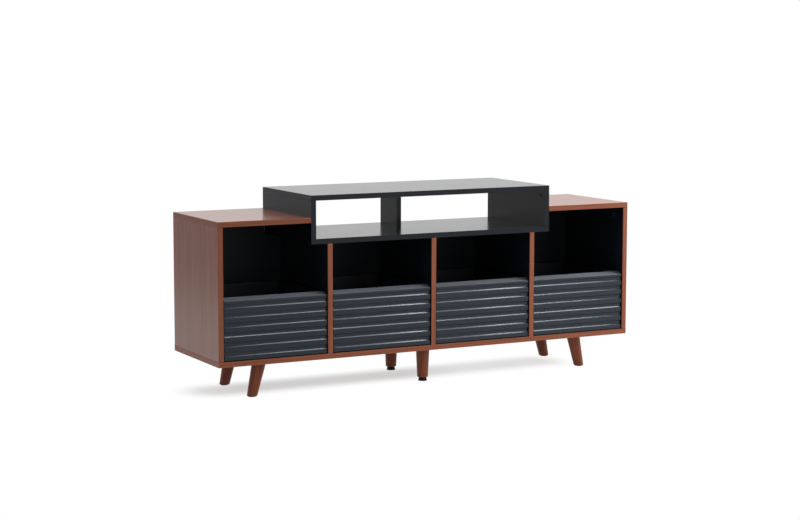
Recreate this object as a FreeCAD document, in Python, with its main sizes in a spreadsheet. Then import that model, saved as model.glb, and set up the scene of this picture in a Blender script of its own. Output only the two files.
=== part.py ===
import FreeCAD, Part
import math
import os
import re
import Sketcher

# Record cabinet: a walnut case of four bays on six turned legs. Each bay holds a pull-out record
# drawer with a ribbed front, and a black open riser is let into the top between two walnut end tops.
# Millimetres. The origin is on the floor under the middle, +X right, +Y to the back, +Z up.

# ---------------------------------------------------------------------------------------------
# Driving dimensions: each one is a cell of the sheet "sizes".
SIZES = {
    # case
    "width": 1600,            # over both sides
    "depth": 400,             # front edges to rear edges
    "case_height": 480,       # bottom board's underside to the end tops
    "leg_height": 120,        # floor to the bottom board's underside
    "board": 18,              # every board of the case and riser
    "back_board": 6,
    "back_inset": 8,          # rear edges of the boards to the back
    "back_groove": 6,         # depth of the grooves that hold the back
    "back_gap": 1.5,          # end of the back's upper step to the riser
    # riser
    "riser_overhang": 60.5,   # its ends past the outer dividers
    "riser_opening": 128,     # clear height inside
    "riser_drop": 90,         # how far its underside lies below the end tops
    "support_depth": 126,     # middle upright, level with the back at its rear
    # drawer fronts
    "front_board": 18,
    "front_gap": 3.2,         # to the boards at each side
    "front_lift": 2.5,        # above the bottom board
    "front_recess": 3,        # behind the front edges of the boards
    "front_height": 209.5,
    "bevel_drop": 12,         # how far the bevel along its top comes down the face
    "bevel_depth": 15,        # and how far it goes back across the top
    "hollow_count": 6,        # hollows between the ribs
    "hollow_mouth": 16.5,     # width of a hollow at the face
    "hollow_floor": 8.5,      # and at its floor
    "hollow_depth": 4,
    "plain_foot": 14,         # plain face below the first hollow
    "plain_head": 7,          # and above the last, up to the bevel
    # drawer boxes
    "box_side": 12,
    "box_lift": 8,            # lower edge above the bottom board
    "box_drop": 4,            # upper edge below the top of the front
    "box_gap": 15,            # rear end to the cabinet's back
    "box_bottom": 6,
    "bottom_lift": 12,        # the drawer bottom above the box's lower edge
    "box_groove": 5,          # depth of the grooves that hold the drawer bottom
    # telescopic slides
    "rail_space": 12.7,       # bay side to drawer side
    "rail_setback": 2,        # front ends behind the drawer front
    "rail_lift": 80,          # middle of the slide above the box's lower edge
    "rail_steel": 1.2,
    "rail_bend": 1,           # width of the bends' outer flats
    "inner_half": 11.2,       # half height of the inner member
    "ball_space": 4.6,        # between the flanges of two members
    "outer_tip": 8.6,         # flange tips and the middle member's web, from the bay side
    "middle_web": 3,
    "middle_tip": 10.4,
    "inner_tip": 5.6,
    "cage_length": 150,       # ball cages
    "cage_width": 3.6,
    "cage_end": 5,            # end of the middle member to a cage
    "cage_play": 0.2,         # cage to the member above and below it
    "outer_cage": 4.5,        # the cages' places between the flanges, from the bay side
    "inner_cage": 6.2,
    # legs
    "leg_inset": 178,         # case end to the axis of a corner leg at its top
    "leg_row": 80,            # front and rear edges to the leg axes
    "leg_splay": 28,          # how far a corner leg leans out on the way down
    "leg_top": 24,            # radii
    "leg_foot": 17.25,
    "centre_foot": 19,
    "leg_chamfer": 1.5,       # round the leg's lower edge
    "glide_radius": 13,
    "glide": 2,
    "level_height": 13,       # levelling foot, from the floor to the centre leg
    "level_radius": 15.5,
    "level_neck": 13,
    "level_stem": 24,         # above the underside of the centre leg
    "level_gap": 0.2,         # screwed right in, it just clears the leg
    "level_room": 2,          # beyond the end of its stem
    # fittings
    "play": 0.05,             # radial clearance of everything round in its hole
    "bolt_radius": 4,
    "bolt_head": 9,
    "head_height": 2.5,
    "bolt_reach": 30,         # how far the bolts and studs go into the legs
    "stud_sink": 14,          # and the studs into the bottom board
    "cap_row": 60,            # front and rear edges to the caps over the cams of the end tops
    "cap_set": 30,            # and below the end tops
    "cap_radius": 10,
    "cap_height": 1,
    "riser_cap_row": 31,      # the same for the riser's top
    "riser_cap_set": 19,
    "riser_cap_radius": 6.5,
}

# Dimensions that follow from them: each one is a property of the set "layout".
LAYOUT = {
    "half_width": "width / 2",
    "half_depth": "depth / 2",
    "deck": "leg_height + board",                          # top of the bottom board
    "ceiling": "leg_height + case_height - board",         # underside of the end tops
    "side_height": "case_height - 2 * board",
    "bay_width": "(width - 5 * board) / 4",
    "bay_pitch": "bay_width + board",
    "inner_depth": "depth - back_inset - back_board",      # front edges to the back
    "back_face": "inner_depth - half_depth",
    "riser_half": "bay_pitch + board / 2 + riser_overhang",
    "riser_width": "2 * riser_half",
    "end_top": "half_width - riser_half",
    "riser_under": "leg_height + case_height - riser_drop",
    "riser_floor": "riser_under + board",
    "riser_roof": "riser_floor + riser_opening",
    "divider_height": "riser_under - deck",
    "front_width": "bay_width - 2 * front_gap",
    "front_face": "front_recess - half_depth",
    "hollow_start": "plain_foot + hollow_mouth / 2",       # to the middle of the first hollow
    "hollow_span": "front_height - bevel_drop - plain_foot - plain_head - hollow_mouth",
    "box_front": "front_face + front_board",
    "box_low": "deck + box_lift",
    "box_height": "front_lift + front_height - box_drop - box_lift",
    "box_length": "inner_depth - front_recess - front_board - box_gap",
    "box_inner": "bay_width - 2 * rail_space - 2 * box_side",
    "panel_width": "box_inner + 2 * box_groove",
    "panel_length": "box_length - box_side + 2 * box_groove",
    "rail_front": "box_front + rail_setback",
    "rail_height": "box_low + rail_lift",
    "rail_length": "box_length",
    "middle_half": "inner_half + ball_space + rail_steel",
    "outer_half": "middle_half + ball_space + rail_steel",
    "leg_length": "sqrt(leg_splay ^ 2 + leg_height ^ 2)",
    "lean_x": "leg_splay / leg_length",
    "lean_z": "leg_height / leg_length",
    "leg_taper": "(leg_top - leg_foot) / leg_length",
    "leg_spare": "leg_top * lean_x / lean_z + 2",          # turned length that the mitres take off
    "corner_x": "half_width - leg_inset",                  # leg axis at the bottom board
    "corner_foot_x": "corner_x + leg_splay",               # and at the floor
    "leg_y": "half_depth - leg_row",
    "cap_y": "half_depth - cap_row",
    "riser_cap_y": "half_depth - riser_cap_row",
}

TINY = 1e-6                       # two places nearer than this are the same

doc = FreeCAD.newDocument("record_cabinet")
owner = {}
pieces = []
features = []


def formula(text):
    """Turns a formula of plain words into one of sheet cells and layout properties."""
    return re.sub(r"[a-z][a-z_]*", lambda word: owner.get(word.group(), "") + word.group(), str(text))


def bind(thing, place, text):
    """Ties a property to a formula."""
    thing.setExpression(place, formula(text))


def make_tables():
    """Fills the sheet and the set of derived dimensions."""
    sheet = doc.addObject("Spreadsheet::Sheet", "sizes")
    for row, (name, size) in enumerate(SIZES.items(), start=1):
        sheet.set(f"A{row}", name)
        sheet.set(f"B{row}", str(size))
        sheet.setAlias(f"B{row}", name)
        owner[name] = "sizes."
    doc.recompute()
    layout = doc.addObject("App::VarSet", "layout")
    for name, text in LAYOUT.items():
        layout.addProperty("App::PropertyFloat", name)
        bind(layout, name, text)
        owner[name] = "layout."
    doc.recompute()
    return layout


# ---------------------------------------------------------------------------------------------
# Bodies, sketches and features. A sketch on XZ_Plane faces -Y, so its sign is turned where a
# height or a direction is given along +Y.
FACING = {"XY_Plane": 1, "YZ_Plane": 1, "XZ_Plane": -1}


def new_body(name, x="0", y="0", z="0"):
    """A sub-part whose own origin lies at (x, y, z) of the cabinet."""
    body = doc.addObject("PartDesign::Body", name)
    body.Label = name
    for axis, text in zip("xyz", (x, y, z)):
        bind(body, f"Placement.Base.{axis}", text)
    pieces.append(body)
    return body


def new_sketch(body, plane, height):
    """A sketch on one of the body's origin planes, moved along the plane's axis by a height."""
    support = next(item for item in body.Origin.OriginFeatures if item.Role == plane)
    sketch = body.newObject("Sketcher::SketchObject", "Outline")
    sketch.AttachmentSupport = [(support, "")]
    sketch.MapMode = "FlatFace"
    bind(sketch, "AttachmentOffset.Base.z", f"{FACING[plane]} * ({height})")
    return sketch


def fix_point(sketch, edge, point, x, y):
    """Dimensions a point from the sketch's origin."""
    for kind, text in (("DistanceX", x), ("DistanceY", y)):
        index = sketch.addConstraint(Sketcher.Constraint(kind, -1, 1, edge, point, 1.0))
        bind(sketch, f"Constraints[{index}]", text)


def add_polygon(sketch, points):
    """A closed outline of straight lines through points given as formulas."""
    count = len(points)
    first = sketch.GeometryCount
    turns = [2 * math.pi * index / count for index in range(count)]
    ring = [FreeCAD.Vector(math.cos(turn), math.sin(turn), 0) for turn in turns]
    for index in range(count):
        sketch.addGeometry(Part.LineSegment(ring[index], ring[(index + 1) % count]), False)
    for index in range(count):
        following = first + (index + 1) % count
        sketch.addConstraint(Sketcher.Constraint("Coincident", first + index, 2, following, 1))
    for index, (x, y) in enumerate(points):
        fix_point(sketch, first + index, 1, x, y)


def add_circle(sketch, x, y, radius):
    """A circle whose centre and radius are formulas."""
    edge = sketch.addGeometry(Part.Circle(FreeCAD.Vector(1, 1, 0), FreeCAD.Vector(0, 0, 1), 1), False)
    fix_point(sketch, edge, 3, x, y)
    index = sketch.addConstraint(Sketcher.Constraint("Radius", edge, 1.0))
    bind(sketch, f"Constraints[{index}]", radius)


def draw(body, plane, height, loops):
    """A sketch of several loops: a loop of three formulas is a circle, any other is a polygon."""
    sketch = new_sketch(body, plane, height)
    for loop in loops:
        if len(loop) == 3 and not isinstance(loop[0], tuple):
            add_circle(sketch, *loop)
        else:
            add_polygon(sketch, loop)
    return sketch


def pad(body, plane, height, length, loops):
    """Adds the loops as a solid that runs from the height towards the plus side of the axis."""
    feature = body.newObject("PartDesign::Pad", "Pad")
    feature.Profile = draw(body, plane, height, loops)
    feature.Reversed = FACING[plane] < 0
    bind(feature, "Length", length)
    features.append(feature)
    return feature


def pocket(body, plane, height, length, loops, towards=-1):
    """Cuts the loops into the body from the height, towards the minus or plus side of the axis."""
    feature = body.newObject("PartDesign::Pocket", "Pocket")
    feature.Profile = draw(body, plane, height, loops)
    feature.Reversed = towards * FACING[plane] > 0
    bind(feature, "Length", length)
    features.append(feature)
    return feature


def turn(body, outline, axis):
    """Adds a turned solid: a half outline in the XZ plane revolved about an axis of its sketch."""
    feature = body.newObject("PartDesign::Revolution", "Turning")
    sketch = draw(body, "XZ_Plane", "0", [outline])
    if axis:
        line = sketch.addGeometry(Part.LineSegment(FreeCAD.Vector(0, 0, 0), FreeCAD.Vector(0, 1, 0)), True)
        for point, (x, y) in enumerate(axis, start=1):
            fix_point(sketch, line, point, x, y)
    feature.Profile = sketch
    feature.ReferenceAxis = (sketch, ["Axis0" if axis else "V_Axis"])
    feature.Angle = 360
    features.append(feature)
    return feature


def chamfer(body, base, chosen, size):
    """Chamfers the edges of a feature that a test picks."""
    doc.recompute()
    names = [f"Edge{place}" for place, edge in enumerate(base.Shape.Edges, start=1) if chosen(edge)]
    feature = body.newObject("PartDesign::Chamfer", "Chamfer")
    feature.Base = (base, names)
    bind(feature, "Size", size)
    features.append(feature)


def rectangle(left, low, right, high):
    """The four corners of a rectangle."""
    return [(left, low), (right, low), (right, high), (left, high)]


def rows(offset):
    """The front and rear places of a pair of fittings, measured from a board's front edge."""
    return [offset, f"depth - {offset}"]


def both(distance):
    """The same distance to each side of the cabinet's middle."""
    return [f"-{distance}", distance]


def size_of(name):
    """The number of a named dimension; a plain number stands for itself."""
    if name in SIZES:
        return getattr(doc.sizes, name)
    return getattr(layout, name) if name in LAYOUT else float(name)


def near(value, places):
    """True where a value is one of the places."""
    return any(abs(value - place) < TINY for place in places)


# ---------------------------------------------------------------------------------------------
# Case.
BACK_SLOT = ("inner_depth", "depth - back_inset")
DIVIDERS = {"left_divider": 1, "centre_divider": 2, "right_divider": 3}


def bottom_board():
    """Runs under the sides; carries the dividers above and the legs below."""
    body = new_body("bottom_board", "-half_width", "-half_depth", "leg_height")
    pad(body, "XY_Plane", "0", "board", [rectangle("0", "0", "width", "depth")])
    slot_end = "board - back_groove"
    slot = rectangle(slot_end, BACK_SLOT[0], f"width - ({slot_end})", BACK_SLOT[1])
    pocket(body, "XY_Plane", "board", "back_groove", [slot])
    corners = ("leg_inset", "width - leg_inset")
    bolts = [(x, y, "bolt_radius + play") for x in corners for y in rows("leg_row")]
    pocket(body, "XY_Plane", "board", "board", bolts)
    studs = [("half_width", y, "bolt_radius + play") for y in rows("leg_row")]
    pocket(body, "XY_Plane", "0", "stud_sink", studs, towards=1)


def case_side(name, x, inner, towards):
    """A side between the bottom board and an end top; inner is the face that the bay shows."""
    body = new_body(name, x, "-half_depth", "deck")
    pad(body, "YZ_Plane", "0", "board", [rectangle("0", "0", "depth", "side_height")])
    slot = rectangle(BACK_SLOT[0], "0", BACK_SLOT[1], "side_height")
    pocket(body, "YZ_Plane", inner, "back_groove", [slot], towards)


def end_top(name, x, slot_from, slot_to):
    """A top that covers a side and butts against the riser."""
    body = new_body(name, x, "-half_depth", "ceiling")
    pad(body, "XY_Plane", "0", "board", [rectangle("0", "0", "end_top", "depth")])
    slot = rectangle(slot_from, BACK_SLOT[0], slot_to, BACK_SLOT[1])
    pocket(body, "XY_Plane", "0", "back_groove", [slot], towards=1)


def divider(name, bays):
    """An upright with so many bays to its left, from the bottom board to the riser."""
    body = new_body(name, f"{bays} * bay_pitch - half_width", "-half_depth", "deck")
    pad(body, "YZ_Plane", "0", "board", [rectangle("0", "0", "inner_depth", "divider_height")])


def back(name, side):
    """Half of the back, in grooves on all sides: it steps up where the riser ends."""
    edge = "half_width - board + back_groove"
    step = "riser_half + back_gap"
    low = "board - back_groove"
    middle = "case_height - riser_drop + back_groove"
    high = "case_height - board + back_groove"
    outline = [("0", low), (edge, low), (edge, high), (step, high), (step, middle), ("0", middle)]
    body = new_body(name, "0", "back_face", "leg_height")
    pad(body, "XZ_Plane", "0", "back_board", [[(f"{side} * ({x})", z) for x, z in outline]])


def make_case():
    """The walnut case."""
    bottom_board()
    case_side("left_side", "-half_width", "board", -1)
    case_side("right_side", "half_width - board", "0", 1)
    slot_end = "board - back_groove"
    end_top("left_top", "-half_width", slot_end, "end_top")
    end_top("right_top", "riser_half", "0", f"end_top - ({slot_end})")
    for name, bays in DIVIDERS.items():
        divider(name, bays)
    back("left_back", -1)
    back("right_back", 1)


# ---------------------------------------------------------------------------------------------
# Riser: an open rectangular tube that rests on the dividers.
def riser_board(name, height):
    """The riser's top or bottom board."""
    body = new_body(name, "-riser_half", "-half_depth", height)
    pad(body, "XY_Plane", "0", "board", [rectangle("0", "0", "riser_width", "depth")])
    return body


def riser_upright(name, x, y, depth):
    """An upright between the riser's two boards."""
    body = new_body(name, x, y, "riser_floor")
    pad(body, "YZ_Plane", "0", "board", [rectangle("0", "0", depth, "riser_opening")])


def make_riser():
    """The black shelf that stands up between the end tops."""
    riser_board("riser_top", "riser_roof")
    bottom = riser_board("riser_bottom", "riser_under")
    slot = rectangle("0", BACK_SLOT[0], "riser_width", BACK_SLOT[1])
    pocket(bottom, "XY_Plane", "0", "back_groove", [slot], towards=1)
    riser_upright("riser_left_side", "-riser_half", "-half_depth", "depth")
    riser_upright("riser_right_side", "riser_half - board", "-half_depth", "depth")
    riser_upright("riser_centre_support", "-board / 2", "back_face - support_depth", "support_depth")


# ---------------------------------------------------------------------------------------------
# Drawers and bays, numbered from the left.
BAYS = (1, 2, 3, 4)


def bay_left(bay):
    """The left wall of a bay."""
    return f"board - half_width + {bay - 1} * bay_pitch"


def drawer_front(name, left):
    """A board with level ribs; the bevel along its top edge is also the finger grip."""
    body = new_body(name, f"{left} + front_gap", "front_face", "deck + front_lift")
    side_view = [
        ("0", "0"),
        ("front_board", "0"),
        ("front_board", "front_height"),
        ("bevel_depth", "front_height"),
        ("0", "front_height - bevel_drop"),
    ]
    pad(body, "YZ_Plane", "0", "front_width", [side_view])
    section = [
        ("0", "hollow_start - hollow_mouth / 2"),
        ("hollow_depth", "hollow_start - hollow_floor / 2"),
        ("hollow_depth", "hollow_start + hollow_floor / 2"),
        ("0", "hollow_start + hollow_mouth / 2"),
    ]
    hollow = pocket(body, "YZ_Plane", "0", "front_width", [section], towards=1)
    ribs = body.newObject("PartDesign::LinearPattern", "Ribs")
    ribs.Originals = [hollow]
    ribs.Direction = (hollow.Profile[0], ["V_Axis"])
    bind(ribs, "Length", "hollow_span")
    bind(ribs, "Occurrences", "hollow_count")
    body.Tip = ribs
    features.append(ribs)
    slot_left = "rail_space + box_side - box_groove - front_gap"
    slot_low = "box_lift + bottom_lift - front_lift"
    slot = rectangle(slot_left, slot_low, f"{slot_left} + panel_width", f"{slot_low} + box_bottom")
    pocket(body, "XZ_Plane", "front_board", "box_groove", [slot])


def drawer_side(name, x, inner, towards):
    """A side of the box with the groove for its bottom; it butts against the front."""
    body = new_body(name, x, "box_front", "box_low")
    pad(body, "YZ_Plane", "0", "box_side", [rectangle("0", "0", "box_length", "box_height")])
    slot = rectangle("0", "bottom_lift", "box_length", "bottom_lift + box_bottom")
    pocket(body, "YZ_Plane", inner, "box_groove", [slot], towards)


def drawer_back(name, left):
    """The box's back, between its sides."""
    place = (f"{left} + rail_space + box_side", "box_front + box_length - box_side", "box_low")
    body = new_body(name, *place)
    pad(body, "XZ_Plane", "0", "box_side", [rectangle("0", "0", "box_inner", "box_height")])
    slot = rectangle("0", "bottom_lift", "box_inner", "bottom_lift + box_bottom")
    pocket(body, "XZ_Plane", "0", "box_groove", [slot], towards=1)


def drawer_bottom(name, left):
    """The box's bottom, in grooves of the front, the sides and the back."""
    place = (f"{left} + rail_space + box_side - box_groove", "box_front - box_groove")
    body = new_body(name, *place, "box_low + bottom_lift")
    pad(body, "XY_Plane", "0", "box_bottom", [rectangle("0", "0", "panel_width", "panel_length")])


def channel(web, tip, half):
    """A C section: an upright web, and two flanges that reach from it to their tips."""
    inside = f"{web} {'+' if size_of(web) < size_of(tip) else '-'} rail_steel"
    flange = f"({half} - rail_steel)"
    lower = [(web, f"-{half}"), (tip, f"-{half}"), (tip, f"-{flange}"), (inside, f"-{flange}")]
    upper = [(inside, flange), (tip, flange), (tip, half), (web, half)]
    return lower + upper


def flatten_bends(body, member, offsets, web, half):
    """Takes the outer corner off each channel's two bends."""
    places = [offset + size_of(web) for offset in offsets]
    places += [offset + layout.bay_width - size_of(web) for offset in offsets]
    heights = [-size_of(half), size_of(half)]

    def bend(edge):
        box = edge.BoundBox
        along = box.XLength + box.ZLength < TINY
        return along and near(box.XMin, places) and near(box.ZMin, heights)

    chamfer(body, member, bend, "rail_bend")


def rail_members(name, bays, web, tip, half):
    """One member of the slides, at the left and the right of each bay named."""
    body = new_body(name, bay_left(bays[0]), "rail_front", "rail_height")
    section = channel(web, tip, half)
    sections = []
    for step in range(len(bays)):
        sections.append([(f"{step} * bay_pitch + {x}", z) for x, z in section])
        sections.append([(f"{step} * bay_pitch + bay_width - ({x})", z) for x, z in section])
    member = pad(body, "XZ_Plane", "0", "rail_length", sections)
    offsets = [step * layout.bay_pitch for step in range(len(bays))]
    flatten_bends(body, member, offsets, web, half)
    return body


def ball_cages(body, start, aside, low, high):
    """Four ball cages between the flanges of two members: above and below, left and right."""
    left = (aside, f"{aside} + cage_width")
    right = (f"bay_width - {aside} - cage_width", f"bay_width - {aside}")
    strips = []
    for inner, outer in (left, right):
        strips.append(rectangle(inner, low, outer, high))
        strips.append(rectangle(inner, f"-({high})", outer, f"-({low})"))
    pad(body, "XZ_Plane", start, "cage_length", strips)


def make_drawers():
    """Four drawers on telescopic slides of three members each."""
    rail_members("outer_rails", BAYS, "0", "outer_tip", "outer_half")
    for bay in BAYS:
        left = bay_left(bay)
        name = f"drawer_{bay}"
        side_x = f"{left} + rail_space"
        drawer_front(f"{name}_front", left)
        drawer_side(f"{name}_left_side", side_x, "box_side", -1)
        drawer_side(f"{name}_right_side", f"{side_x} + box_side + box_inner", "0", 1)
        drawer_back(f"{name}_back", left)
        drawer_bottom(f"{name}_bottom", left)
        rail_members(f"{name}_inner_rails", [bay], "rail_space", "inner_tip", "inner_half")
        middle = rail_members(f"{name}_middle_rails", [bay], "middle_web", "middle_tip", "middle_half")
        outer_room = ("middle_half + cage_play", "outer_half - rail_steel - cage_play")
        ball_cages(middle, "rail_length - cage_length - cage_end", "outer_cage", *outer_room)
        inner_room = ("inner_half + cage_play", "middle_half - rail_steel - cage_play")
        ball_cages(middle, "cage_end", "inner_cage", *inner_room)


# ---------------------------------------------------------------------------------------------
# Legs.
ENDS = {"left": -1, "right": 1}
ROWS = {"front": -1, "rear": 1}


def foot_edge(level):
    """Picks the closed edge round the lower end of a leg."""

    def chosen(edge):
        box = edge.BoundBox
        return box.ZMax < level + TINY and box.XLength > size_of("leg_foot")

    return chosen


def corner_leg(name, side, row):
    """A turned, tapered leg that leans out; both ends are mitred level."""
    body = new_body(name, f"{side} * corner_foot_x", f"{row} * leg_y", "0")
    lean = f"({-side} * lean_x)"
    top = "(leg_length + leg_spare)"
    thin = "(leg_foot - leg_spare * leg_taper)"
    thick = "(leg_top + leg_spare * leg_taper)"
    axis = [(f"-leg_spare * {lean}", "-leg_spare * lean_z"), (f"{top} * {lean}", f"{top} * lean_z")]
    outline = [
        axis[0],
        (f"{axis[0][0]} + {thin} * lean_z", f"{axis[0][1]} - {thin} * {lean}"),
        (f"{axis[1][0]} + {thick} * lean_z", f"{axis[1][1]} - {thick} * {lean}"),
        axis[1],
    ]
    turn(body, outline, axis)
    reach = "leg_splay + 2 * leg_top"
    block = rectangle(f"-({reach})", f"-({reach})", reach, reach)
    pocket(body, "XY_Plane", "leg_height", "2 * leg_top", [block], towards=1)
    trimmed = pocket(body, "XY_Plane", "glide", "2 * leg_top", [block])
    chamfer(body, trimmed, foot_edge(size_of("glide")), "leg_chamfer")
    bolt = (f"{-side} * leg_splay", "0", "bolt_radius + play")
    pocket(body, "XY_Plane", "leg_height", "bolt_reach", [bolt])


def centre_leg(name, row):
    """An upright tapered leg with a threaded stud above and a levelling foot below."""
    body = new_body(name, "0", f"{row} * leg_y", "0")
    outline = rectangle("0", "level_height", "leg_top", "leg_height")
    outline[1] = ("centre_foot", "level_height")
    turned = turn(body, outline, None)
    chamfer(body, turned, foot_edge(size_of("level_height")), "leg_chamfer")
    bolt = ("0", "0", "bolt_radius + play")
    pocket(body, "XY_Plane", "leg_height", "bolt_reach", [bolt])
    pocket(body, "XY_Plane", "level_height", "level_stem + level_room", [bolt], towards=1)


def levelling_foot(name, row):
    """A conical foot on a screw stem."""
    body = new_body(name, "0", f"{row} * leg_y", "0")
    neck = "level_height - level_gap"
    tip = "level_height + level_stem"
    outline = [("0", "0"), ("level_radius", "0"), ("level_neck", neck), ("bolt_radius", neck)]
    outline += [("bolt_radius", tip), ("0", tip)]
    turn(body, outline, None)


def make_legs():
    """Four corner legs, two centre legs and their feet."""
    for row_name, row in ROWS.items():
        for end_name, side in ENDS.items():
            corner_leg(f"{row_name}_{end_name}_leg", side, row)
        centre_leg(f"{row_name}_centre_leg", row)
        levelling_foot(f"{row_name}_levelling_foot", row)
    glides = new_body("leg_glides")
    discs = [(x, y, "glide_radius") for x in both("corner_foot_x") for y in both("leg_y")]
    pad(glides, "XY_Plane", "0", "glide", discs)


# ---------------------------------------------------------------------------------------------
# Fittings: each kind is one group of separate solids.
def leg_bolts():
    """Bolts down into the corner legs, and studs up out of the centre legs."""
    body = new_body("leg_bolts")
    corners = [(x, y) for x in both("corner_x") for y in both("leg_y")]
    lower_end = "leg_height - bolt_reach"
    shanks = [(x, y, "bolt_radius") for x, y in corners]
    pad(body, "XY_Plane", lower_end, "bolt_reach + board", shanks)
    pad(body, "XY_Plane", "deck", "head_height", [(x, y, "bolt_head") for x, y in corners])
    studs = [("0", y, "bolt_radius") for y in both("leg_y")]
    pad(body, "XY_Plane", lower_end, "bolt_reach + stud_sink", studs)


def cover_caps():
    """Caps over the fittings that hold the end tops and the riser's top to their sides."""
    body = new_body("cover_caps")
    case = [(y, "ceiling - cap_set", "cap_radius") for y in both("cap_y")]
    riser = [(y, "riser_roof - riser_cap_set", "riser_cap_radius") for y in both("riser_cap_y")]
    for half, discs in (("half_width", case), ("riser_half", riser)):
        pad(body, "YZ_Plane", f"board - {half}", "cap_height", discs)
        pad(body, "YZ_Plane", f"{half} - board - cap_height", "cap_height", discs)


# ---------------------------------------------------------------------------------------------
CUTS = ("PartDesign::Pocket", "PartDesign::LinearPattern", "PartDesign::Chamfer")


def check_document():
    """Stops on a failed object, a cut that removed nothing or a sub-part that isn't sound."""
    for thing in doc.Objects:
        if "Invalid" in thing.State or "Error" in thing.State:
            raise RuntimeError(f"{thing.Name} failed: {thing.getStatusString()}")
    for feature in features:
        base = feature.BaseFeature
        grown = feature.Shape.Volume - (base.Shape.Volume if base else 0)
        cuts = feature.TypeId in CUTS
        if grown * (-1 if cuts else 1) <= 0:
            raise RuntimeError(f"{feature.Name} of {feature.getParentGeoFeatureGroup().Label} did nothing")
    for piece in pieces:
        if piece.Shape.isNull() or not piece.Shape.isValid():
            raise RuntimeError(f"{piece.Label} isn't a sound solid")


def write_pieces():
    """Writes each sub-part to parts/NODE.step."""
    os.makedirs("parts", exist_ok=True)
    for piece in pieces:
        piece.Shape.exportStep(f"parts/{piece.Label}.step")
    print(f"{len(pieces)} sub-parts, {sum(len(piece.Shape.Solids) for piece in pieces)} solids")


layout = make_tables()
make_case()
make_riser()
make_drawers()
make_legs()
leg_bolts()
cover_caps()
doc.recompute()
check_document()
write_pieces()
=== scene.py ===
import math

import bpy
import numpy as np
from mathutils import Matrix, Vector


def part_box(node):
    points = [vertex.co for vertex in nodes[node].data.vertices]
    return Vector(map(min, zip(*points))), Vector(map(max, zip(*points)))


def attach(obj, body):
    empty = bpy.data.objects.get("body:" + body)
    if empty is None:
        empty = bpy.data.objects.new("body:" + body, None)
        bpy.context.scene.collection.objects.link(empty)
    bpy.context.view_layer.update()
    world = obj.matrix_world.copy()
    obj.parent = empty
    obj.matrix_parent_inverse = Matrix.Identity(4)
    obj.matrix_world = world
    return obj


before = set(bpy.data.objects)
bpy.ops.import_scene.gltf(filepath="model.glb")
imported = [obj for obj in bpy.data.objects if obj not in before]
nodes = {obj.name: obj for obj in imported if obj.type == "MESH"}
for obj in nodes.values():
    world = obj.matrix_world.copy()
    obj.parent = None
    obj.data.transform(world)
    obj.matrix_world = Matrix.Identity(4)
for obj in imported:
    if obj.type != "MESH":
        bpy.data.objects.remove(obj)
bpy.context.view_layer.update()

BAYS = (1, 2, 3, 4)

# ---------------------------------------------------------------------------------------------
# Camera: a long lens from the front left, a little above the riser's top.
CAMERA_PLACE = (-3.1559, -5.9495, 1.2240)
CAMERA_YAW = math.radians(27.742)      # from +Y towards +X
CAMERA_PITCH = math.radians(6.877)     # downwards
CAMERA_ROLL = math.radians(0.078)
FOCAL_LENGTH = 86.33                   # mm
SENSOR_WIDTH = 36.0                    # mm
SIGHT_LENGTH = 100                     # metres; nothing farther off is shown


def make_camera():
    """The camera looks along its own -Z, so level and ahead is a quarter turn about X."""
    data = bpy.data.cameras.new("camera")
    data.sensor_width = SENSOR_WIDTH
    data.lens = FOCAL_LENGTH
    data.clip_end = SIGHT_LENGTH
    camera = bpy.data.objects.new("camera", data)
    bpy.context.scene.collection.objects.link(camera)
    turn = Matrix.Rotation(-CAMERA_YAW, 4, "Z")
    tilt = Matrix.Rotation(math.pi / 2 - CAMERA_PITCH, 4, "X")
    roll = Matrix.Rotation(CAMERA_ROLL, 4, "Z")
    camera.matrix_world = Matrix.Translation(CAMERA_PLACE) @ turn @ tilt @ roll
    bpy.context.scene.camera = camera


# ---------------------------------------------------------------------------------------------
# Shader trees.
class Value:
    """An output of a shader tree. Its operators add Math nodes."""

    def __init__(self, tree, socket):
        self.tree = tree
        self.socket = socket

    def math(self, operation, first, second):
        """A Math node on two values or numbers."""
        return self.tree.add("ShaderNodeMath", {"operation": operation}, {0: first, 1: second})

    def __add__(self, other):
        return self.math("ADD", self, other)

    def __radd__(self, other):
        return self.math("ADD", other, self)

    def __sub__(self, other):
        return self.math("SUBTRACT", self, other)

    def __rsub__(self, other):
        return self.math("SUBTRACT", other, self)

    def __mul__(self, other):
        return self.math("MULTIPLY", self, other)

    def __rmul__(self, other):
        return self.math("MULTIPLY", other, self)

    def __abs__(self):
        return self.math("ABSOLUTE", self, 0)


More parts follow.
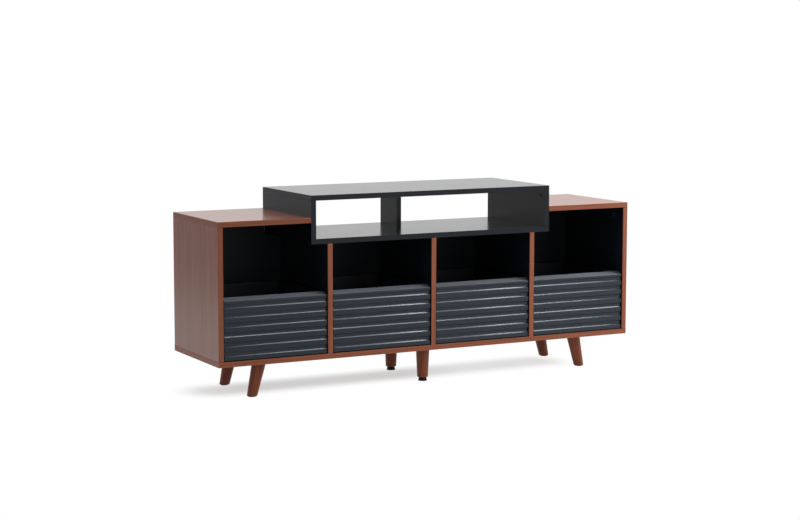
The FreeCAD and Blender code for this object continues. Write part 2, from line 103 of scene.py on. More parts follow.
class Tree:
    """A shader tree: add() makes any node, and the other methods name the ones used often."""

    def __init__(self, owner):
        owner.use_nodes = True
        self.nodes = owner.node_tree.nodes
        self.links = owner.node_tree.links
        self.nodes.clear()

    def add(self, kind, settings, inputs, output=0):
        """Adds a node with its settings, then its inputs by name or place; returns one output."""
        node = self.nodes.new(kind)
        for name, value in settings.items():
            if name == "stops":
                self.set_ramp(node.color_ramp, value)
            else:
                setattr(node, name, value)
        for key, value in inputs.items():
            if isinstance(value, Value):
                self.links.new(value.socket, node.inputs[key])
            else:
                node.inputs[key].default_value = value
        return Value(self, node.outputs[output]) if node.outputs else None

    def set_ramp(self, ramp, stops):
        """Fills a colour ramp with (place, colour) pairs."""
        while len(ramp.elements) < len(stops):
            ramp.elements.new(1.0)
        for element, (place, colour) in zip(ramp.elements, stops):
            element.position = place
            element.color = (*colour, 1)

    def place(self):
        """The point on the object, in its own coordinates."""
        return self.add("ShaderNodeTexCoord", {}, {}, "Object")

    def facing(self):
        """The surface's own direction, in the object's coordinates."""
        return self.add("ShaderNodeTexCoord", {}, {}, "Normal")

    def part(self, vector, axis):
        """One coordinate of a vector."""
        return self.add("ShaderNodeSeparateXYZ", {}, {"Vector": vector}, axis)

    def join(self, x, y, z):
        """A vector from three numbers."""
        return self.add("ShaderNodeCombineXYZ", {}, {"X": x, "Y": y, "Z": z})

    def along(self, vector, axis):
        """The vector with its coordinates in another order, so that the axis comes last."""
        order = {"X": "YZX", "Y": "XZY", "Z": "XYZ"}[axis]
        return self.join(*[self.part(vector, name) for name in order])

    def stretch(self, vector, scale):
        """A vector times another, coordinate by coordinate."""
        return self.add("ShaderNodeVectorMath", {"operation": "MULTIPLY"}, {0: vector, 1: scale})

    def length(self, vector):
        """The length of a vector."""
        return self.add("ShaderNodeVectorMath", {"operation": "LENGTH"}, {0: vector}, 1)

    def away(self, middle):
        """The distance from a point."""
        inputs = {0: self.place(), 1: middle}
        return self.add("ShaderNodeVectorMath", {"operation": "DISTANCE"}, inputs, 1)

    def reach(self, vector, way):
        """How far a vector goes along a way, whose length is 1."""
        inputs = {0: vector, 1: way}
        return self.add("ShaderNodeVectorMath", {"operation": "DOT_PRODUCT"}, inputs, 1)

    def noise(self, vector, detail=2.0, roughness=0.5, distortion=0.0):
        """Smooth noise from 0 to 1, with one lump to a unit of the vector."""
        inputs = {"Vector": vector, "Scale": 1.0, "Detail": detail}
        inputs.update({"Roughness": roughness, "Distortion": distortion})
        return self.add("ShaderNodeTexNoise", {"noise_dimensions": "3D"}, inputs, "Fac")

    def lumps(self, number, detail=2.0, roughness=0.5):
        """Noise of so many lumps to a metre, alike in all directions."""
        return self.noise(self.stretch(self.place(), (number, number, number)), detail, roughness)

    def step(self, value, low, high, start=0.0, end=1.0):
        """Rises smoothly from start to end as the value goes from low to high."""
        settings = {"interpolation_type": "SMOOTHSTEP"}
        inputs = {"Value": value, "From Min": low, "From Max": high, "To Min": start, "To Max": end}
        return self.add("ShaderNodeMapRange", settings, inputs)

    def least(self, first, second):
        """The smaller of two numbers."""
        return self.add("ShaderNodeMath", {"operation": "MINIMUM"}, {0: first, 1: second})

    def most(self, first, second):
        """The larger of two numbers."""
        return self.add("ShaderNodeMath", {"operation": "MAXIMUM"}, {0: first, 1: second})

    def blend(self, share, first, second):
        """A colour between two."""
        inputs = {0: share, 6: self.colour(first), 7: self.colour(second)}
        return self.add("ShaderNodeMix", {"data_type": "RGBA"}, inputs, 2)

    def either(self, share, first, second):
        """A vector between two."""
        inputs = {0: share, 4: first, 5: second}
        return self.add("ShaderNodeMix", {"data_type": "VECTOR"}, inputs, 1)

    def colour(self, value):
        """A colour with its alpha, or a link as it is."""
        return value if isinstance(value, Value) else (*value, 1)

    def bump(self, height, distance):
        """A bump of so many metres where the height goes from 0 to 1."""
        return self.add("ShaderNodeBump", {}, {"Height": height, "Distance": distance})

    def ray(self, kind):
        """1 for a ray of one kind, and 0 for others."""
        return self.add("ShaderNodeLightPath", {}, {}, kind)

    def mirrored(self):
        """1 for a ray from a mirror or through a glass, and 0 for others."""
        return self.most(self.ray("Is Glossy Ray"), self.ray("Is Transmission Ray"))


class Finish(Tree):
    """A material with one Principled surface."""

    def __init__(self, name):
        self.material = bpy.data.materials.new(name)
        super().__init__(self.material)

    def surface(self, colour, roughness, normal, **constants):
        """Links the surface: constants are the shader's other sockets, with _ for a space."""
        inputs = {"Base Color": self.colour(colour), "Roughness": roughness, "Normal": normal}
        inputs.update({name.replace("_", " "): value for name, value in constants.items()})
        shader = self.add("ShaderNodeBsdfPrincipled", {}, inputs)
        self.add("ShaderNodeOutputMaterial", {}, {"Surface": shader})
        return self.material


# ---------------------------------------------------------------------------------------------
# Studio: a white wall behind, a dim ceiling, and a dim side behind the camera. Soft boxes: two
# side by side overhead, the right one brighter, one at the left, and two at the front right, high
# and low. The floor is white to the camera but for the object's shadow, and mirrors see it dimmer
# in front of the object and far out to its left. Lengths are in metres.
WALL_WAY = (math.sin(CAMERA_YAW), math.cos(CAMERA_YAW), 0.0)
WALL_SIDES = (-0.35, 0.45)    # along that way, in a unit direction, from dim side to wall
WALL_TOP = (0.35, 0.70)       # heights, in a unit direction, over which the wall ends
WALL_LIGHT = 0.95
FRONT_LIGHT = 0.30
CEILING_LIGHT = 0.30

FLOOR_RADIUS = 40.0
FLOOR_RINGS = 23
FLOOR_TURNS = 96
FLOOR_WHITE = 0.90            # as the camera sees it
FLOOR_GREY = 0.40             # as the light that it throws back shows it
FLOOR_MIRRORED = 0.28         # as mirrors see it where it isn't white

SHADE_LEFT = -0.72            # x of the left end of the shadow's middle line
SHADE_RIGHT = 0.55            # x of its right end
SHADE_Y = 0.03
SHADE_ENDS = (0.020, 0.165)   # distances from that line over which it fades to plain white
SHADE_FAINT = (0.00, 0.25)    # x over which it turns fainter
SHADE_LIFT = (0.55, 0.68)     # share of plain white in it, at its left and at its right

STAGE_MIDDLE = (-0.40, -1.90, 0.0)
STAGE_ENDS = (0.55, 1.9)      # distances from that middle over which mirrors see it turn white
LEFT_WAY = (-math.cos(CAMERA_YAW), math.sin(CAMERA_YAW), 0.0)
LEFT_ENDS = (1.6, 3.4)        # distances that way over which mirrors see it dim again
LEFT_DIM = 0.46               # share of white that stays there

REAR = (0, 1, 0)
UP = (0, 0, 1)
SOFT_BOXES = (
    # name, place, the point it faces, size, radiance, its upper edge's way, shown in mirrors
    ("box_overhead", (0.8, -0.82, 2.9), (0.8, -0.82, 0.0), (2.2, 0.8), 11.0, REAR, True),
    ("box_overhead_right", (2.65, -0.82, 2.9), (2.65, -0.82, 0.0), (1.5, 0.8), 21.0, REAR, True),
    ("box_left", (-3.4, 0.3, 2.6), (-0.8, 0.0, 0.35), (2.0, 2.0), 2.5, UP, False),
    ("box_high_right", (2.3, -2.6, 2.4), (0.3, 0.0, 0.3), (2.6, 2.2), 2.4, UP, False),
    ("box_front_right", (2.4, -3.1, 1.5), (0.3, 0.0, 0.2), (2.6, 1.6), 3.5, UP, False),
)


def make_world():
    """Diffuse light comes from the room; the camera and mirrors see its wall as plain white."""
    world = bpy.data.worlds.new("studio")
    bpy.context.scene.world = world
    tree = Tree(world)
    way = tree.add("ShaderNodeTexCoord", {}, {}, "Generated")
    behind = tree.reach(way, WALL_WAY)
    high = tree.step(tree.part(way, "Z"), *WALL_TOP)
    wall = tree.step(behind, *WALL_SIDES, FRONT_LIGHT, WALL_LIGHT)
    room = wall + high * (CEILING_LIGHT - wall)
    plain = tree.most(tree.ray("Is Camera Ray"), tree.mirrored() * (1 - high))
    strength = room + plain * (1 - room)
    light = tree.add("ShaderNodeBackground", {}, {"Color": (1, 1, 1, 1), "Strength": strength})
    tree.add("ShaderNodeOutputWorld", {}, {"Surface": light})


def make_floor():
    """A level disc whose rings are r = R t^3, t up to 1, so that they crowd at the middle. It is
    matt under the object, where the camera sees its shadow, and plain white around it."""
    rings = np.linspace(0, 1, FLOOR_RINGS + 1)[1:, None] ** 3 * FLOOR_RADIUS
    turns = np.linspace(0, 2 * np.pi, FLOOR_TURNS, endpoint=False)[None, :]
    grid = np.stack([rings * np.cos(turns), rings * np.sin(turns), 0 * rings * turns], axis=-1)
    floor = grid_piece("floor", grid[None], ends=(0,))
    finish = Finish("floor_white")
    seen = finish.ray("Is Camera Ray") * (FLOOR_WHITE - FLOOR_GREY)
    tone = FLOOR_GREY + seen + finish.mirrored() * (FLOOR_MIRRORED - FLOOR_GREY)
    matt = finish.add("ShaderNodeBsdfDiffuse", {}, {"Color": tone})
    white = finish.add("ShaderNodeEmission", {}, {"Color": (1, 1, 1, 1), "Strength": 1.0})
    x = finish.part(finish.place(), "X")
    y = finish.part(finish.place(), "Y")
    past = finish.most(0, finish.most(SHADE_LEFT - x, x - SHADE_RIGHT))
    lift = finish.step(x, *SHADE_FAINT, *SHADE_LIFT)
    fade = finish.step(finish.length(finish.join(past, y - SHADE_Y, 0)), *SHADE_ENDS)
    direct = finish.ray("Is Camera Ray") * (lift + fade * (1 - lift))
    stage = finish.away(STAGE_MIDDLE)
    left = finish.reach(finish.place(), LEFT_WAY)
    bright = finish.step(stage, *STAGE_ENDS) * finish.step(left, *LEFT_ENDS, 1.0, LEFT_DIM)
    share = finish.most(direct, finish.mirrored() * bright)
    mix = finish.add("ShaderNodeMixShader", {}, {0: share, 1: matt, 2: white})
    finish.add("ShaderNodeOutputMaterial", {}, {"Surface": mix})
    floor.data.materials.append(finish.material)


def soft_box(name, place, target, size, radiance, up, mirrored):
    """A rectangular lamp that faces a point and has its upper edge towards up. Radiance is the
    brightness of its face, and mirrors show it where mirrored is true."""
    data = bpy.data.lights.new(name, "AREA")
    data.shape = "RECTANGLE"
    data.size, data.size_y = size
    data.energy = radiance * math.pi * size[0] * size[1]
    lamp = bpy.data.objects.new(name, data)
    bpy.context.scene.collection.objects.link(lamp)
    back = (Vector(place) - Vector(target)).normalized()
    side = Vector(up).cross(back).normalized()
    turn = Matrix((side, back.cross(side), back)).transposed().to_4x4()
    lamp.matrix_world = Matrix.Translation(place) @ turn
    lamp.visible_glossy = mirrored


# ---------------------------------------------------------------------------------------------
# Surfaces.
def grid_piece(name, grids, ends):
    """A mesh from rings of points: grids[copy, ring, turn] is a point, each ring is closed, each
    is joined to the next, and the ones named in ends, by their places, are filled."""
    copies, rings, turns = grids.shape[:3]
    index = np.arange(copies * rings * turns).reshape(copies, rings, turns)
    across = np.roll(index, -1, axis=2)
    corners = [index[:, :-1], index[:, 1:], across[:, 1:], across[:, :-1]]
    faces = np.stack(corners, axis=-1).reshape(-1, 4).tolist()
    for end in ends:
        ring = index[:, end]
        faces += (ring if end == 0 else ring[:, ::-1]).tolist()
    mesh = bpy.data.meshes.new(name)
    mesh.from_pydata(grids.reshape(-1, 3).tolist(), [], faces)
    mesh.update()
    piece = bpy.data.objects.new(name, mesh)
    bpy.context.scene.collection.objects.link(piece)
    return piece


# A screw's head: shares of its radius, and for the depth, of its height.
HEAD_TURNS = 32
HEAD_RINGS = np.array([0.04, 0.16, 0.28, 0.40, 0.52, 0.66, 0.82, 0.93, 1.0, 1.0])
ARM_HALF_WIDTH = 0.14         # of the cross recess
ARM_END = 0.60                # how far out the recess goes
ARM_RISE = 0.10               # the length over which it rises to that end
RECESS_DEPTH = 0.75


def cross_head(radius, height, dome):
    """A screw's head with a cross recess. A point at radius r and turn a has the height
    h (1 - dome r^2), less the recess where the smaller of |r cos a| and |r sin a| is under the
    arm's half width and r is under the arm's end; the last ring lies on the surface."""
    turns = np.linspace(0, 2 * np.pi, HEAD_TURNS, endpoint=False)[None, :]
    rings = HEAD_RINGS[:, None]
    x = rings * np.cos(turns)
    y = rings * np.sin(turns)
    arm = np.clip(1 - np.minimum(np.abs(x), np.abs(y)) / ARM_HALF_WIDTH, 0, 1)
    reach = np.clip((ARM_END - rings) / ARM_RISE, 0, 1)
    lift = 1 - dome * rings ** 2 - RECESS_DEPTH * np.sqrt(arm) * reach
    lift[-1] = 0
    return np.stack([radius * x, radius * y, height * lift], axis=-1)


BALL_TURNS = 10
BALL_TILTS = np.radians([12, 40, 66, 90, 114, 140, 168])


def ball(radius):
    """A ball: at tilt t from its pole and turn a, the point r (sin t cos a, sin t sin a, cos t)."""
    turns = np.linspace(0, 2 * np.pi, BALL_TURNS, endpoint=False)[None, :]
    tilts = BALL_TILTS[:, None]
    across = np.sin(tilts)
    points = [across * np.cos(turns), across * np.sin(turns), np.cos(tilts) + 0 * turns]
    return radius * np.stack(points, axis=-1)


def stand(shape, places, way):
    """Copies of a shape at each place, with its own Z turned to way, which is along an axis."""
    up = np.array(way, float)
    side = np.roll(up, 1)
    turned = shape @ np.stack([side, np.cross(up, side), up])
    return np.array(places, float)[:, None, None, :] + turned


# ---------------------------------------------------------------------------------------------
# Finishes. Patterns are in lumps to a metre, and reliefs in metres.
def tint(tree, colour, share, by):
    """A colour that wanders by a share of itself as a number goes from 0 to 1."""
    low, high = 1 - share, 1 + share
    return tree.blend(by, [low * part for part in colour], [high * part for part in colour])


def from_face(tree, node, axis, side):
    """How deep a point lies under one of a node's outermost faces: the highest along an axis
    where side is 1, and the lowest where it is -1."""
    face = getattr(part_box(node)[1 if side > 0 else 0], axis.lower())
    depth = tree.part(tree.place(), axis) - face
    return depth * -side


# Wood. A pattern is given across the grain, across it the other way and along it. Stops are
# places on a scale of tone from 0 to 1, each with its colour, from dark to light.
STRIPES = (60, 60, 1.3)
FIBRES = (520, 520, 8)
PORES = (1300, 1300, 55)
STRIPE_SHARE = 0.55           # of the tone
FIBRE_SHARE = 0.45
PORE_NOISE = (0.60, 0.72)     # noise over which a pore sets in
PORE_DARKNESS = 0.40          # share of the dark tone in a pore
FIBRE_HEIGHT = 0.6            # where a pore is 1 deep


def grain(tree, place):
    """Grain along the third coordinate: broad stripes, fine fibres, and short dark pores."""
    broad = tree.noise(tree.stretch(place, STRIPES), detail=2.0, distortion=0.25)
    fibre = tree.noise(tree.stretch(place, FIBRES), detail=3.0, roughness=0.6)
    pore = tree.noise(tree.stretch(place, PORES), detail=1.0)
    return broad, fibre, tree.step(pore, *PORE_NOISE)


def wood(tree, place, stops):
    """The colour of the grain from dark to light, and its height."""
    broad, fibre, pores = grain(tree, place)
    tone = broad * STRIPE_SHARE + fibre * FIBRE_SHARE
    face = tree.add("ShaderNodeValToRGB", {"stops": stops}, {"Fac": tone})
    dark = stops[0][1]
    return tree.blend(pores * PORE_DARKNESS, face, dark), fibre * FIBRE_HEIGHT - pores


CLOUDS = 11
CLOUD_TINT = 0.12
PEBBLES = 1800


def laminate(tree, colour):
    """Satin laminate: its colour, and a pebbled height."""
    return tint(tree, colour, CLOUD_TINT, tree.lumps(CLOUDS)), tree.lumps(PEBBLES)


# Boards. Their edges are banded: the band is a strip of walnut as thin as BAND, in metres.
WALNUT_DARK = (0.145, 0.037, 0.0145)
WALNUT_MID = (0.210, 0.059, 0.0250)
WALNUT_LIGHT = (0.270, 0.084, 0.0380)
WALNUT_STOPS = [(0.32, WALNUT_DARK), (0.50, WALNUT_MID), (0.68, WALNUT_LIGHT)]
# Dark brown at a butt joint: a dark joint, widened by painted shade over the rounded groove.
SEAM_SHADE_BROWN = (0.030, 0.012, 0.006)
INNER_BLACK = (0.0088, 0.0130, 0.0195)
BAND = 0.0009
BAND_FADE = 0.0001
JOINT_FADE = (0.00004, 0.00022)          # half widths at which the joint begins to fade and ends
JOINT_DARKNESS = 0.75         # share of the dark tone in the joint
JOINT_DEPTH = 2               # where a pore is 0.35 deep
SEAM_SHADE_WIDTH = 0.0011                 # width of the dark joint and painted shade on each side of a butt joint
SEAM_SHADE_FADED = 1.3              # widths at which it is gone
SEAM_SHADE_SHARE = 0.9           # share of the dark brown in it: a dark joint widened by painted shade
FACE_FADE = (0.0001, 0.0002)  # depths under an inner face over which the black ends
END_FACING = (0.6, 0.8)       # sideways part of a surface's direction over which an end sets in
GRAIN_HEIGHT = 0.35           # of the grain's relief under the lacquer, as a share
PEBBLE_HEIGHT = 0.4
BOARD_RELIEF = 0.000015
BOARD_SMEARS = 25
BOARD_ROUGHNESS = 0.20
SMEAR_ROUGHNESS = 0.04        # what smears add at most
BAND_ROUGHNESS = 0.24         # what a band adds
BOARD_SPECULAR = 0.37


def board(name, node, along, inner, ends=(), butts=(), shade=1.0):
    """A board with its grain along an axis, a band on its front edge and on its ends, and black
    laminate on its inner face, or on both faces where inner is "both". The grain of an end's
    band runs along the end. A fine dark joint shows where a band meets the face. Where the
    board butts against another, on the faces that butts names, a dark joint is widened by
    painted shade over the rounded groove between the boards. Shade scales the walnut's colour
    as painted shade below 1 and painted light above 1."""
    finish = Finish(name)
    point = finish.place()
    lengthwise = finish.along(point, along)
    front = from_face(finish, node, "Y", -1)
    edge = front
    if ends:
        at_end = finish.step(abs(finish.part(finish.facing(), "X")), *END_FACING)
        lengthwise = finish.either(at_end, lengthwise, finish.along(point, "Y"))
    for side in ends:
        edge = finish.least(edge, from_face(finish, node, "X", side))
    # shade scales the walnut's colour: painted shade under 1, painted light over 1.
    stops = [(place, [shade * part for part in tone]) for place, tone in WALNUT_STOPS]
    colour, height = wood(finish, lengthwise, stops)
    joint = 1 - finish.step(abs(edge - BAND), *JOINT_FADE)
    colour = finish.blend(joint * JOINT_DARKNESS, colour, WALNUT_DARK)
    for face in butts:
        # Painted shade: the rounded groove where the board butts against another is darkened.
        seam_shade = 1 - finish.step(from_face(finish, node, *face), SEAM_SHADE_WIDTH, SEAM_SHADE_WIDTH * SEAM_SHADE_FADED)
        colour = finish.blend(seam_shade * SEAM_SHADE_SHARE, colour, SEAM_SHADE_BROWN)
    height = height * GRAIN_HEIGHT - joint * JOINT_DEPTH
    band = 1 - finish.step(edge, BAND, BAND + BAND_FADE)
    covered = finish.step(front, BAND, BAND + BAND_FADE)
    if inner != "both":
        covered = covered * (1 - finish.step(from_face(finish, node, *inner), *FACE_FADE))
    black, pebble = laminate(finish, INNER_BLACK)
    colour = finish.blend(covered, colour, black)
    height = height + covered * (pebble * PEBBLE_HEIGHT - height)
    smear = finish.lumps(BOARD_SMEARS)
    roughness = BOARD_ROUGHNESS + smear * SMEAR_ROUGHNESS + band * BAND_ROUGHNESS
    bumpy = finish.bump(height, BOARD_RELIEF)
    return finish.surface(colour, roughness, bumpy, Specular_IOR_Level=BOARD_SPECULAR)


LEG_DARK = (0.118, 0.0255, 0.0095)
LEG_MID = (0.205, 0.0510, 0.0190)
LEG_LIGHT = (0.275, 0.0780, 0.0310)
LEG_STOPS = [(0.30, LEG_DARK), (0.50, LEG_MID), (0.70, LEG_LIGHT)]
LEG_LEAN = 28 / 120           # of a corner leg's axis, outwards for each unit down
LEANING_FROM = (0.2, 0.4)     # distances from the middle over which legs turn from upright
LEG_RELIEF = 0.00003
LEG_ROUGHNESS = 0.44
RISE_ROUGHNESS = 0.05         # what the grain's height adds
LEG_SPECULAR = 0.28


def turned_wood(name):
    """Stained wood of the legs. A corner leg's axis leans out by LEG_LEAN for each unit down, so
    adding that share of the height to |x| makes the grain run along it."""
    finish = Finish(name)
    place = finish.place()
    sideways = abs(finish.part(place, "X"))
    leaning = finish.step(sideways, *LEANING_FROM)
    height = finish.part(place, "Z")
    upright = finish.join(sideways + leaning * height * LEG_LEAN, finish.part(place, "Y"), height)
    colour, rise = wood(finish, upright, LEG_STOPS)
    roughness = LEG_ROUGHNESS + rise * RISE_ROUGHNESS
    bumpy = finish.bump(rise, LEG_RELIEF)
    return finish.surface(colour, roughness, bumpy, Specular_IOR_Level=LEG_SPECULAR)


SLATE = (0.0058, 0.0075, 0.0120)
RISER_RELIEF = 0.00001
RISER_SMEARS = 9
RISER_ROUGHNESS = 0.17
RISER_SMEAR_ROUGHNESS = 0.03
RISER_SPECULAR = 0.23


def riser_laminate(name):
    """Slate black satin laminate with a fine pebble."""
    finish = Finish(name)
    colour, pebble = laminate(finish, SLATE)
    smear = finish.lumps(RISER_SMEARS, detail=3.0)
    roughness = RISER_ROUGHNESS + smear * RISER_SMEAR_ROUGHNESS
    bumpy = finish.bump(pebble, RISER_RELIEF)
    return finish.surface(colour, roughness, bumpy, Specular_IOR_Level=RISER_SPECULAR)


DRAWER_BLACK = (0.0090, 0.0110, 0.0150)
DRAWER_RELIEF = 0.00003
DRAWER_ROUGHNESS = 0.38
PEBBLE_ROUGHNESS = 0.10       # what pebbles add at most
DRAWER_SPECULAR = 0.4


def drawer_laminate(name, colour):
    """The plain black laminate of the drawers' boxes."""
    finish = Finish(name)
    shade, pebble = laminate(finish, colour)
    roughness = DRAWER_ROUGHNESS + pebble * PEBBLE_ROUGHNESS
    bumpy = finish.bump(pebble, DRAWER_RELIEF)
    return finish.surface(shade, roughness, bumpy, Specular_IOR_Level=DRAWER_SPECULAR)


HARDBOARD = (0.0090, 0.0130, 0.0190)
FIBRE_BROWN = (0.030, 0.024, 0.020)
HARDBOARD_FIBRES = 240
REAR_FACING = (0.4, 0.6)      # backward part of a surface's direction over which a rear sets in
PAINTED_HEIGHT = 0.15         # of the fibres under the paint; the rear's are 1 higher
HARDBOARD_RELIEF = 0.00012
HARDBOARD_ROUGHNESS = 0.42
REAR_ROUGHNESS = 0.25         # what the rear adds
HARDBOARD_SPECULAR = 0.2


def hardboard(name):
    """Black hardboard: a smooth painted face, and a rear face that shows its fibres."""
    finish = Finish(name)
    fibres = finish.lumps(HARDBOARD_FIBRES, detail=5.0, roughness=0.7)
    rear = finish.step(finish.part(finish.facing(), "Y"), *REAR_FACING)
    colour = finish.blend(rear * fibres, HARDBOARD, FIBRE_BROWN)
    roughness = HARDBOARD_ROUGHNESS + rear * REAR_ROUGHNESS
    bumpy = finish.bump(fibres * (PAINTED_HEIGHT + rear), HARDBOARD_RELIEF)
    return finish.surface(colour, roughness, bumpy, Specular_IOR_Level=HARDBOARD_SPECULAR)


CHARCOAL = (0.0066, 0.0090, 0.0152)
FOIL_TINT = 0.22
PRESSED_HEIGHT = 0.5          # of the fibres, where a pore is 1 deep
FOIL_RELIEF = 0.00003
FOIL_ROUGHNESS = 0.28
FIBRE_ROUGHNESS = 0.06        # what fibres add at most
FOIL_SPECULAR = 0.54
FOIL_GLEAM = (0.84, 0.93, 1.0, 1.0)


def front_foil(name):
    """Charcoal foil drawn over the ribs, with a faint grain pressed along it."""
    finish = Finish(name)
    broad, fibre, pores = grain(finish, finish.along(finish.place(), "X"))
    colour = tint(finish, CHARCOAL, FOIL_TINT, (broad + fibre) * 0.5)
    roughness = FOIL_ROUGHNESS + fibre * FIBRE_ROUGHNESS
    bumpy = finish.bump(fibre * PRESSED_HEIGHT - pores, FOIL_RELIEF)
    gleam = {"Specular_IOR_Level": FOIL_SPECULAR, "Specular_Tint": FOIL_GLEAM}
    return finish.surface(colour, roughness, bumpy, **gleam)


ZINC = (0.46, 0.47, 0.49)
ZINC_TINT = 0.08
RAIL_LINES = (900, 14)        # across them and along them
BOLT_LINES = (500, 500)
BLOOM = 130
ZINC_RELIEF = 0.00001
ZINC_ROUGHNESS = 0.30
LINE_ROUGHNESS = 0.12         # what lines add at most
BLOOM_ROUGHNESS = 0.10        # what the bloom adds at most


def zinc(name, across, along):
    """Bright zinc with fine lines from rolling along Y and a faint bloom."""
    finish = Finish(name)
    lines = finish.noise(finish.stretch(finish.place(), (across, along, across)), detail=3.0)
    bloom = finish.lumps(BLOOM, detail=3.0)
    colour = tint(finish, ZINC, ZINC_TINT, bloom)
    roughness = ZINC_ROUGHNESS + lines * LINE_ROUGHNESS + bloom * BLOOM_ROUGHNESS
    return finish.surface(colour, roughness, finish.bump(lines, ZINC_RELIEF), Metallic=1.0)


SPARKS = 2600
SPARK_TINT = 0.15
SPARK_ROUGHNESS = 0.1         # what sparks add at most
PLASTIC_RELIEF = 0.00003
# Kinds of plastic: colour, roughness between the sparks, and specular level.
CAP_PLASTIC = ((0.0230, 0.0270, 0.0330), 0.45, 0.3)
NYLON = ((0.0050, 0.0050, 0.0055), 0.50, 0.15)


def plastic(name, colour, smooth, specular):
    """Moulded plastic with a fine spark texture; smooth is its roughness between the sparks."""
    finish = Finish(name)
    spark = finish.lumps(SPARKS)
    shade = tint(finish, colour, SPARK_TINT, spark)
    roughness = smooth + spark * SPARK_ROUGHNESS
    bumpy = finish.bump(spark, PLASTIC_RELIEF)
    return finish.surface(shade, roughness, bumpy, Specular_IOR_Level=specular)


# ---------------------------------------------------------------------------------------------
# Dressing of the boards and members. Widths of the rounds on sharp edges are in metres.
WALNUT_ROUND = 0.0010
THIN_ROUND = 0.0006           # of the dividers and the riser
FOIL_ROUND = 0.0008
BOX_ROUND = 0.0004
RAIL_ROUND = 0.0002
ROUND_STEPS = 2
SHARP = math.radians(30)      # edges that turn by more than this are rounded
JOIN_DISTANCE = 0.00001       # corners nearer than this are one before the rounding


def dress(names, material, rounding=0.0):
    """Gives CAD nodes a finish, and where rounding is over 0 a small round on sharp edges."""
    for name in names:
        slots = nodes[name].data.materials
        slots.clear()
        slots.append(material)
        if rounding:
            weld = nodes[name].modifiers.new("joined", "WELD")
            weld.merge_threshold = JOIN_DISTANCE
            edge = nodes[name].modifiers.new("rounded", "BEVEL")
            edge.width = rounding
            edge.segments = ROUND_STEPS
            edge.limit_method = "ANGLE"
            edge.angle_limit = SHARP


def middle(node, axis):
    """The middle of a node's box along an axis."""
    low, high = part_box(node)
    return (getattr(low, axis) + getattr(high, axis)) / 2


def low_side(node, axis):
    """The lowest place of a node along an axis."""
    return getattr(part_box(node)[0], axis)


def high_side(node, axis):
    """The highest place of a node along an axis."""
    return getattr(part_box(node)[1], axis)


# ---------------------------------------------------------------------------------------------
# Fasteners and balls, in metres.
STEEL = 0.0012                # the slides' sheet
RAIL_SCREW = (0.0034, 0.0012, 0.45)      # head radius, height and dome
WOOD_SCREW = (0.0036, 0.0006, 0.30)
BACK_SCREW = (0.0038, 0.0020, 0.50)
CAM = (0.0075, 0.0004, 0.15)
OUTER_SCREWS_Y = (-0.140, 0.020, 0.150)
INNER_SCREWS_Y = (-0.150, -0.010, 0.145)
CAM_Y = 0.034                 # behind the rear of the front
BOX_FIXINGS_Z = (0.040, 0.160)           # above the lower edge of the drawer's box
BACK_SCREWS_Z = (0.165, 0.324, 0.490)
SEAM_SCREW_X = 0.0045         # from the seam of the back
BALL_RADIUS = 0.0022
BALLS = 8                     # in a cage
BALL_PITCH = 0.0185
BALL_START = 0.010            # from the end of a cage
CAGE_LENGTH = 0.150
CAGE_END = 0.005              # from the ends of the slide
INNER_TIP = 0.0056            # from the bay side to the inner member's flange tips
OUTER_BALLS = (0.0063, 0.0193)           # from the bay side, and above and below the middle
INNER_BALLS = (0.0080, 0.0135)


def fasten(name, body, material, shape, groups):
    """A piece of like fasteners on one body: each group is a list of places and a direction."""
    grids = np.concatenate([stand(shape, places, way) for places, way in groups])
    piece = grid_piece(name, grids, ends=(0, -1))
    piece.data.materials.append(material)
    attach(piece, body)


def across(left, right, rows):
    """Two groups of places: rows of (y, z) at the x of a left face and of a right one. The first
    group points to +X and the second to -X."""
    sides = ((left, (1, 0, 0)), (right, (-1, 0, 0)))
    return [([(x, y, z) for y, z in rows], way) for x, way in sides]


def make_case_fixings(material):
    """Screws that hold the outer rails to the bays' sides, and the back to the dividers."""
    walls = ["left_side", "left_divider", "centre_divider", "right_divider", "right_side"]
    height = middle("outer_rails", "z")
    groups = []
    for left, right in zip(walls, walls[1:]):
        faces = (high_side(left, "x") + STEEL, low_side(right, "x") - STEEL)
        groups += across(*faces, [(y, height) for y in OUTER_SCREWS_Y])
    fasten("outer_rail_screws", "case", material, cross_head(*RAIL_SCREW), groups)
    outermost = [middle(f"{side}_divider", "x") for side in ("left", "right")]
    columns = [outermost[0], -SEAM_SCREW_X, SEAM_SCREW_X, outermost[1]]
    rear = high_side("left_back", "y")
    groups = [([(x, rear, z) for x in columns for z in BACK_SCREWS_Z], REAR)]
    fasten("back_screws", "case", material, cross_head(*BACK_SCREW), groups)


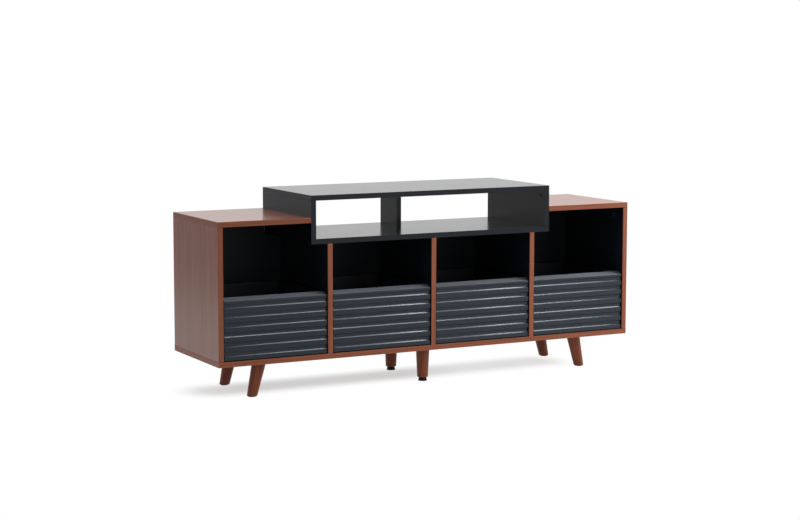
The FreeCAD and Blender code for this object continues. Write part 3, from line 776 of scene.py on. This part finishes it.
def make_drawer_fixings(bay, material):
    """A drawer's screws and cams, and the balls of its slides."""
    name = f"drawer_{bay}"
    left, right = f"{name}_left_side", f"{name}_right_side"
    height = middle("outer_rails", "z")
    webs = (high_side(right, "x") + STEEL, low_side(left, "x") - STEEL)
    groups = across(*webs, [(y, height) for y in INNER_SCREWS_Y])
    fasten(f"{name}_rail_screws", name, material, cross_head(*RAIL_SCREW), groups)
    levels = [low_side(left, "z") + rise for rise in BOX_FIXINGS_Z]
    front = low_side(left, "y") + CAM_Y
    groups = across(high_side(left, "x"), low_side(right, "x"), [(front, z) for z in levels])
    fasten(f"{name}_cams", name, material, cross_head(*CAM), groups)
    rear = middle(f"{name}_back", "y")
    groups = across(high_side(right, "x"), low_side(left, "x"), [(rear, z) for z in levels])
    fasten(f"{name}_box_screws", name, material, cross_head(*WOOD_SCREW), groups)
    rail = f"{name}_inner_rails"
    reach = BALL_START + BALL_PITCH * np.arange(BALLS)
    inner_y = low_side(rail, "y") + CAGE_END + reach
    outer_y = high_side(rail, "y") - CAGE_END - CAGE_LENGTH + reach
    bay_left = low_side(rail, "x") - INNER_TIP
    bay_right = high_side(rail, "x") + INNER_TIP
    places = []
    for (aside, apart), rows in ((INNER_BALLS, inner_y), (OUTER_BALLS, outer_y)):
        for x in (bay_left + aside, bay_right - aside):
            places += [(x, y, height + side * apart) for side in (-1, 1) for y in rows]
    groups = [(places, UP)]
    fasten(f"{name}_balls", f"slide_{bay}", material, ball(BALL_RADIUS), groups)


# ---------------------------------------------------------------------------------------------
# The walnut boards: a node, the axis of its grain, and the rest of what board() takes.
BUTTED_ENDS = (("Z", -1), ("Z", 1))
# The shade in these rows is painted shade, which darkens the left side and both tops.
WALNUT_BOARDS = (
    ("left_side", "Z", {"inner": ("X", 1), "butts": BUTTED_ENDS, "shade": 0.92}),
    ("right_side", "Z", {"inner": ("X", -1), "butts": BUTTED_ENDS}),
    ("left_top", "X", {"inner": ("Z", -1), "ends": (-1,), "shade": 0.85}),
    ("right_top", "X", {"inner": ("Z", -1), "ends": (1,), "shade": 0.90}),
    ("bottom_board", "X", {"inner": ("Z", 1), "ends": (-1, 1)}),
)

bpy.context.scene.view_settings.view_transform = "Standard"
make_camera()
make_world()
make_floor()
for lamp_row in SOFT_BOXES:
    soft_box(*lamp_row)

for name, along, options in WALNUT_BOARDS:
    dress([name], board(f"{name}_walnut", name, along, **options), WALNUT_ROUND)
dividers = [f"{place}_divider" for place in ("left", "centre", "right")]
# shade=1.07 is painted light, which makes the dividers' walnut edges lighter.
divider_board = board("divider_board", "centre_divider", "Z", inner="both", shade=1.07)
dress(dividers, divider_board, THIN_ROUND)
riser_boards = [name for name in nodes if name.startswith("riser")]
dress(riser_boards, riser_laminate("riser_slate"), THIN_ROUND)
dress(["left_back", "right_back"], hardboard("back_hardboard"))
dress([f"drawer_{bay}_front" for bay in BAYS], front_foil("charcoal_foil"), FOIL_ROUND)
box_parts = [f"drawer_{bay}_{part}" for bay in BAYS for part in ("left_side", "right_side", "back")]
dress(box_parts, drawer_laminate("drawer_black", DRAWER_BLACK), BOX_ROUND)
dress([f"drawer_{bay}_bottom" for bay in BAYS], drawer_laminate("drawer_floor_black", HARDBOARD))
rails = [name for name in nodes if name.endswith("rails")]
dress(rails, zinc("slide_zinc", *RAIL_LINES), RAIL_ROUND)
dress([name for name in nodes if name.endswith("_leg")], turned_wood("leg_walnut"))
bolt_zinc = zinc("bolt_zinc", *BOLT_LINES)
dress(["leg_bolts"], bolt_zinc)
dress(["cover_caps"], plastic("cap_grey", *CAP_PLASTIC))
nylon_parts = ["leg_glides", "front_levelling_foot", "rear_levelling_foot"]
dress(nylon_parts, plastic("black_nylon", *NYLON))
make_case_fixings(bolt_zinc)
for bay in BAYS:
    make_drawer_fixings(bay, bolt_zinc)
